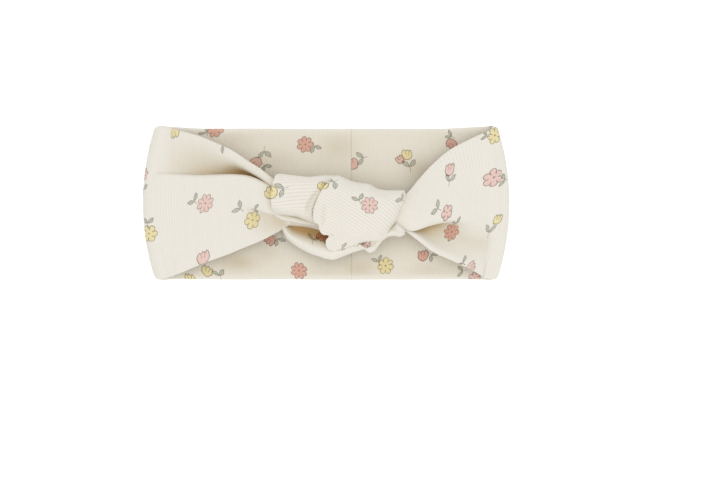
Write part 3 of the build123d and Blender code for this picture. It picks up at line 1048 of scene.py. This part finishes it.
# outer edge, end under the knot, width of the rim, height of the rim
LOOP_ROWS = [
    ((-22.2, -10.9), (-20.4, -8.8), 0.6, 10.6),
    ((-21.2, -12.9), (-17, -9), 0.9, 11.9),
    ((-19.2, -16.9), (-13.5, -9.5), 2.2, 12.9),
    ((-15.2, -20.3), (-10.5, -9.5), 3.4, 13.2),
    ((-11, -22.9), (-7.5, -9.8), 4.4, 13.4),
    ((-6.7, -24.9), (-4.5, -10.4), 5.2, 13.5),
    ((-3, -26.1), (-1.5, -11), 6.0, 13.6),
    ((0.3, -27.1), (1.5, -12), 6.4, 13.6),
    ((3.6, -27.5), (4, -13), 6.2, 13.5),
    ((8, -26), (7.5, -13.4), 5.6, 13.1),
    ((12.9, -24.1), (12, -13.6), 4.8, 12.6),
    ((18.2, -22.5), (17, -13.8), 4.0, 12.0),
]


def lower_loop_cloth():
    """The strand that hangs below the knot and opens into a hollow with a bright rim."""
    stations = []
    for outer, inner, rim, top in LOOP_ROWS:
        outer, inner = np.array(outer), np.array(inner)
        reach = np.linalg.norm(inner - outer)
        way = (inner - outer) / reach
        steps = [(0.5, 8.4), (0.0, 9.6), (0.22 * rim + 0.3, top - 0.7), (0.55 * rim, top),
                 (rim, top - 0.9), (rim + 0.28 * (reach - rim), top - 3.2),
                 (rim + 0.6 * (reach - rim), 8.7), (reach, 8.3)]
        stations.append([(*(outer + way * d), z) for d, z in steps])
    middle = lofted(stations, 300, 64)
    cloth = sheet_cloth(middle, 1.6, 1.15, 0.13)
    # painted shade, darker from the rim deep into the hollow and weaker at the left tip
    share = lengths(middle, 1)
    share = share / share[:, -1:]
    side = np.clip((middle[..., 0] + 23) / 6, 0.3, 1)
    cloth.hollow = np.clip((share - 0.36) / 0.4, 0, 1) * side
    return cloth


def rolled_edge_cloth():
    """The narrow turned edge that shows under the left wrap."""
    path = spline([(-26.0, -4.6, 1.0), (-24.2, -6.1, 1.0), (-21.4, -7.7, 1.0), (-18, -8.5, 1.0),
                   (-15.2, -9.1, 0.9), (-10.9, -10.0, 0.75), (-7.3, -10.6, 0.6),
                   (-3.0, -11.4, 0.5)], 24)
    stations = []
    for x, y, size in path:
        stations.append([(x, y - 0.55 * size, 11.0), (x, y - 0.85 * size, 12.0),
                         (x, y - 0.1, 12.0 + 1.2 * size), (x, y + 1.3 * size, 12.4 + 0.7 * size),
                         (x, y + 3.0 * size, 12.0), (x, y + 4.4 * size, 11.2)])
    middle = lofted(stations, 150, 30)
    cloth = sheet_cloth(middle, 0.9, 0.95, 0.10)
    # painted shade on the half of the roll that turns up under the wrap
    share = lengths(middle, 1)
    cloth.hollow = np.clip((share / share[:, -1:] - 0.5) / 0.3, 0, 1) * 0.8
    return cloth


def tail_loop_cloth():
    """The small loop that droops below the cover."""
    plan = patch(
        [(13.6, -18.0), (19, -16.6), (27.6, -15.6)],
        [(27.6, -15.6), (28.2, -18.4), (26.4, -21.2)],
        [(15.4, -22.4), (18.6, -23.2), (21.6, -24.9), (24.4, -23.6), (26.4, -21.2)],
        [(13.6, -18.0), (13.6, -20.4), (15.4, -22.4)],
        80, 60,
    )
    crown = FRONT_LOW + 6.4
    creases = [([(16.5, -20.2), (20.5, -20.6), (25.0, -19.8)], 0.9, 1.1)]
    return wrap_cloth(plan, FRONT_LOW + 2.0, FRONT_LOW, crown, 1.9,
                      lambda x, y: x + 0.35 * y, 1.15, 0.14, creases)


def right_gather_cloth():
    """The puckered neck where the strand leaves the cover for the right wing."""
    plan = patch(
        [(29.5, -13.6), (32.4, -11.4), (35.0, -9.2)],
        [(35.0, -9.2), (37.2, -11.1), (39.0, -13.2), (39.2, -15.6)],
        [(29.8, -17.2), (33.4, -16.6), (37.0, -16.9), (39.2, -15.6)],
        [(29.5, -13.6), (29.2, -15.4), (29.8, -17.2)],
        70, 56,
    )
    crown = KNOT_LOW + 7.4
    creases = [([(31, -12.5), (35, -13.5), (39, -15.0)], 0.9, 0.9)]
    return wrap_cloth(plan, KNOT_LOW + 2.0, KNOT_LOW - 1.6, crown, 3.0,
                      lambda x, y: x - 0.9 * y, 1.5, 0.2, creases)


def under_pass_cloth():
    """The hidden pass under the knot, from one wing to the other."""
    plan = patch(
        [(-27.6, 8.0), (-10, 9.4), (10, 8.0), (39.4, 4.2)],
        [(39.4, 4.2), (39.0, -4), (38.6, -13.6)],
        [(-24, -11.4), (-8, -12.6), (10, -18.6), (26, -17.2), (38.6, -13.6)],
        [(-27.6, 8.0), (-27.2, -2), (-24, -11.4)],
        130, 60,
    )
    return wrap_cloth(plan, FRONT_LOW + 1.6, FRONT_LOW, KNOT_LOW + 2.2, 3.0,
                      lambda x, y: x, 1.5, 0.2)


def closing_seam_cloth(node):
    """The turned-in allowance that runs along one edge, hidden between the two layers."""
    low, high = (np.array(corner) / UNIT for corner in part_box(node))
    x = np.linspace(low[0], high[0], 160)[:, None]
    y = np.linspace(low[1], high[1], 10)[None, :]
    z = (low[2] + high[2]) / 2 + 0 * x * y
    return sheet_cloth(np.stack([x + 0 * y, y + 0 * x, z], axis=-1), high[2] - low[2], 1.0, 0.05)


# ---------------------------------------------------------------- operators


def finished(name, cloth, motifs, valley_shade_strength, row_shade_strength, painted_shade_strength=0.75):
    """The mesh of a piece with its own knit, print and painted shade."""
    piece = cloth.build(name)
    piece.data.materials.append(
        cloth_material(f"{name}_knit", cloth, motifs, valley_shade_strength, row_shade_strength, painted_shade_strength)
    )
    return piece


def bend(piece, body, side):
    """Bakes a sheet's transform into its mesh."""
    start = (side * BEND_START * UNIT, 0, 0)
    end = (side * BEND_END * UNIT, 0, 0)
    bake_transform(piece)


class HEADBAND_OT_back(bpy.types.Operator):
    """Make the two sheets of the back half, left and right of the centre back seam"""

    bl_idname = "headband.back"
    bl_label = "Back half"

    def execute(self, context):
        sizes = context.scene.headband_sizes
        prints = {"left": BACK_LEFT_PRINT, "right": BACK_RIGHT_PRINT}
        for name, side in (("left", -1), ("right", 1)):
            cloth = back_cloth(side, sizes)
            piece = finished(f"back_{name}_sheet", cloth, prints[name], 0.42, 0.55, 0.25)
            bend(piece, "back", side)
            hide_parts(f"back_{name}_outer_layer", f"back_{name}_inner_layer")
        return {"FINISHED"}


class HEADBAND_OT_wings(bpy.types.Operator):
    """Make the left and the right wing of the front, gathered towards the knot"""

    bl_idname = "headband.wings"
    bl_label = "Wings"

    def execute(self, context):
        sizes = context.scene.headband_sizes
        left = finished("left_wing", left_wing_cloth(sizes), LEFT_WING_PRINT, 0.36, 0.2)
        bend(left, "front", -1)
        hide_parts("left_side_fold", "left_wing_main_panel", "left_wing_upper_roll")
        right = finished("right_wing", right_wing_cloth(sizes), RIGHT_WING_PRINT, 0.36, 0.2)
        bend(right, "front", 1)
        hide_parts("right_side_fold", "right_wing_upper_lobe", "right_wing_lower_fold")
        return {"FINISHED"}


class HEADBAND_OT_knot(bpy.types.Operator):
    """Make the wraps, loops and rolled edges of the knot"""

    bl_idname = "headband.knot"
    bl_label = "Knot"

    def execute(self, context):
        sizes = context.scene.headband_sizes
        puffed = [
            ("knot_under_pass", under_pass_cloth(), []),
            ("knot_left_wrap", left_wrap_cloth(sizes), LEFT_WRAP_PRINT),
            ("knot_cover_wrap", cover_cloth(sizes), COVER_PRINT),
            ("knot_tail_loop", tail_loop_cloth(), TAIL_PRINT),
            ("knot_right_gather", right_gather_cloth(), []),
            ("knot_left_rolled_edge", rolled_edge_cloth(), []),
        ]
        for node, cloth, motifs in puffed:
            piece = finished(f"{node}_cloth", cloth, motifs, 0.55, 0.16)
            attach(piece, "front")
            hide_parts(node)
        loop = finished("knot_lower_loop_cloth", lower_loop_cloth(), LOOP_PRINT, 0.5, 0.2)
        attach(loop, "front")
        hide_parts("knot_lower_loop")
        return {"FINISHED"}


class HEADBAND_OT_seams(bpy.types.Operator):
    """Give the seam allowances and threads inside the band their finish"""

    bl_idname = "headband.seams"
    bl_label = "Seams"

    def execute(self, context):
        finishes = {"centre_back_stitches": thread_material(),
                    "centre_back_seam_allowance": seam_material()}
        for node, material in finishes.items():
            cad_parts[node].data.materials.clear()
            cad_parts[node].data.materials.append(material)
        for name, side in (("left", -1), ("right", 1)):
            node = f"back_{name}_closing_seam"
            piece = finished(f"{node}_allowance", closing_seam_cloth(node), [], 0.3, 0.3)
            bend(piece, "back", side)
            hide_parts(node)
        return {"FINISHED"}


class HEADBAND_OT_stage(bpy.types.Operator):
    """Add the floor, the soft light and the camera straight above"""

    bl_idname = "headband.stage"
    bl_label = "Stage"

    def execute(self, context):
        scene = context.scene
        self.add_floor()
        self.add_light("overhead_light", (-0.06, 0.10, 0.75), 1.1, 2.7)
        self.add_light("low_fill_light", (0.30, -0.50, 0.45), 0.7, 0.8)
        world = bpy.data.worlds.new("soft_studio")
        world.use_nodes = True
        world.node_tree.nodes["Background"].inputs["Color"].default_value = (1, 1, 1, 1)
        world.node_tree.nodes["Background"].inputs["Strength"].default_value = 0.74
        scene.world = world
        scene.view_settings.view_transform = "Standard"
        camera = bpy.data.cameras.new("camera")
        camera.lens = 100
        camera.sensor_width = 36
        holder = bpy.data.objects.new("camera", camera)
        distance = VIEW_WIDTH * UNIT * camera.lens / camera.sensor_width
        holder.location = (VIEW_CENTRE[0] * UNIT, VIEW_CENTRE[1] * UNIT, distance)
        camera.clip_end = 10
        scene.collection.objects.link(holder)
        scene.camera = holder
        return {"FINISHED"}

    def add_floor(self):
        bpy.ops.object.select_all(action="DESELECT")
        bpy.ops.mesh.primitive_plane_add(size=3.0, location=(0, 0, 0))
        floor = bpy.context.object
        floor.name = "floor"
        material = bpy.data.materials.new("white_floor")
        material.use_nodes = True
        surface = material.node_tree.nodes["Principled BSDF"]
        surface.inputs["Base Color"].default_value = (0.93, 0.93, 0.93, 1)
        surface.inputs["Roughness"].default_value = 0.8
        surface.inputs["Emission Color"].default_value = (1, 1, 1, 1)
        surface.inputs["Emission Strength"].default_value = 0.3
        floor.data.materials.append(material)

    def add_light(self, name, place, size, power):
        light = bpy.data.lights.new(name, "AREA")
        light.size = size
        light.energy = power
        holder = bpy.data.objects.new(name, light)
        holder.location = place
        holder.rotation_euler = (-Vector(place)).to_track_quat("-Z", "Y").to_euler()
        bpy.context.scene.collection.objects.link(holder)


class HEADBAND_PT_panel(bpy.types.Panel):
    """The headband's sizes, colours and makers"""

    bl_idname = "HEADBAND_PT_panel"
    bl_label = "Headband"
    bl_space_type = "VIEW_3D"
    bl_region_type = "UI"
    bl_category = "Headband"

    def draw(self, context):
        for group in (context.scene.headband_sizes, context.scene.headband_colours):
            for name in group.__annotations__:
                self.layout.prop(group, name)
        for maker in MAKERS:
            self.layout.operator(maker.bl_idname)


MAKERS = (HEADBAND_OT_back, HEADBAND_OT_wings, HEADBAND_OT_knot, HEADBAND_OT_seams,
          HEADBAND_OT_stage)
CLASSES = (HeadbandSizes, HeadbandColours, *MAKERS, HEADBAND_PT_panel)


def register():
    for cls in CLASSES:
        bpy.utils.register_class(cls)
    bpy.types.Scene.headband_sizes = PointerProperty(type=HeadbandSizes)
    bpy.types.Scene.headband_colours = PointerProperty(type=HeadbandColours)


def unregister():
    del bpy.types.Scene.headband_colours
    del bpy.types.Scene.headband_sizes
    for cls in reversed(CLASSES):
        bpy.utils.unregister_class(cls)


def main():
    register()
    for make_group in (daisy_group, tulip_group, leaves_group, knit_group, fold_group):
        make_group()
    bpy.ops.headband.stage()
    bpy.ops.headband.back()
    bpy.ops.headband.wings()
    bpy.ops.headband.knot()
    bpy.ops.headband.seams()


if __name__ == "__main__":
    main()
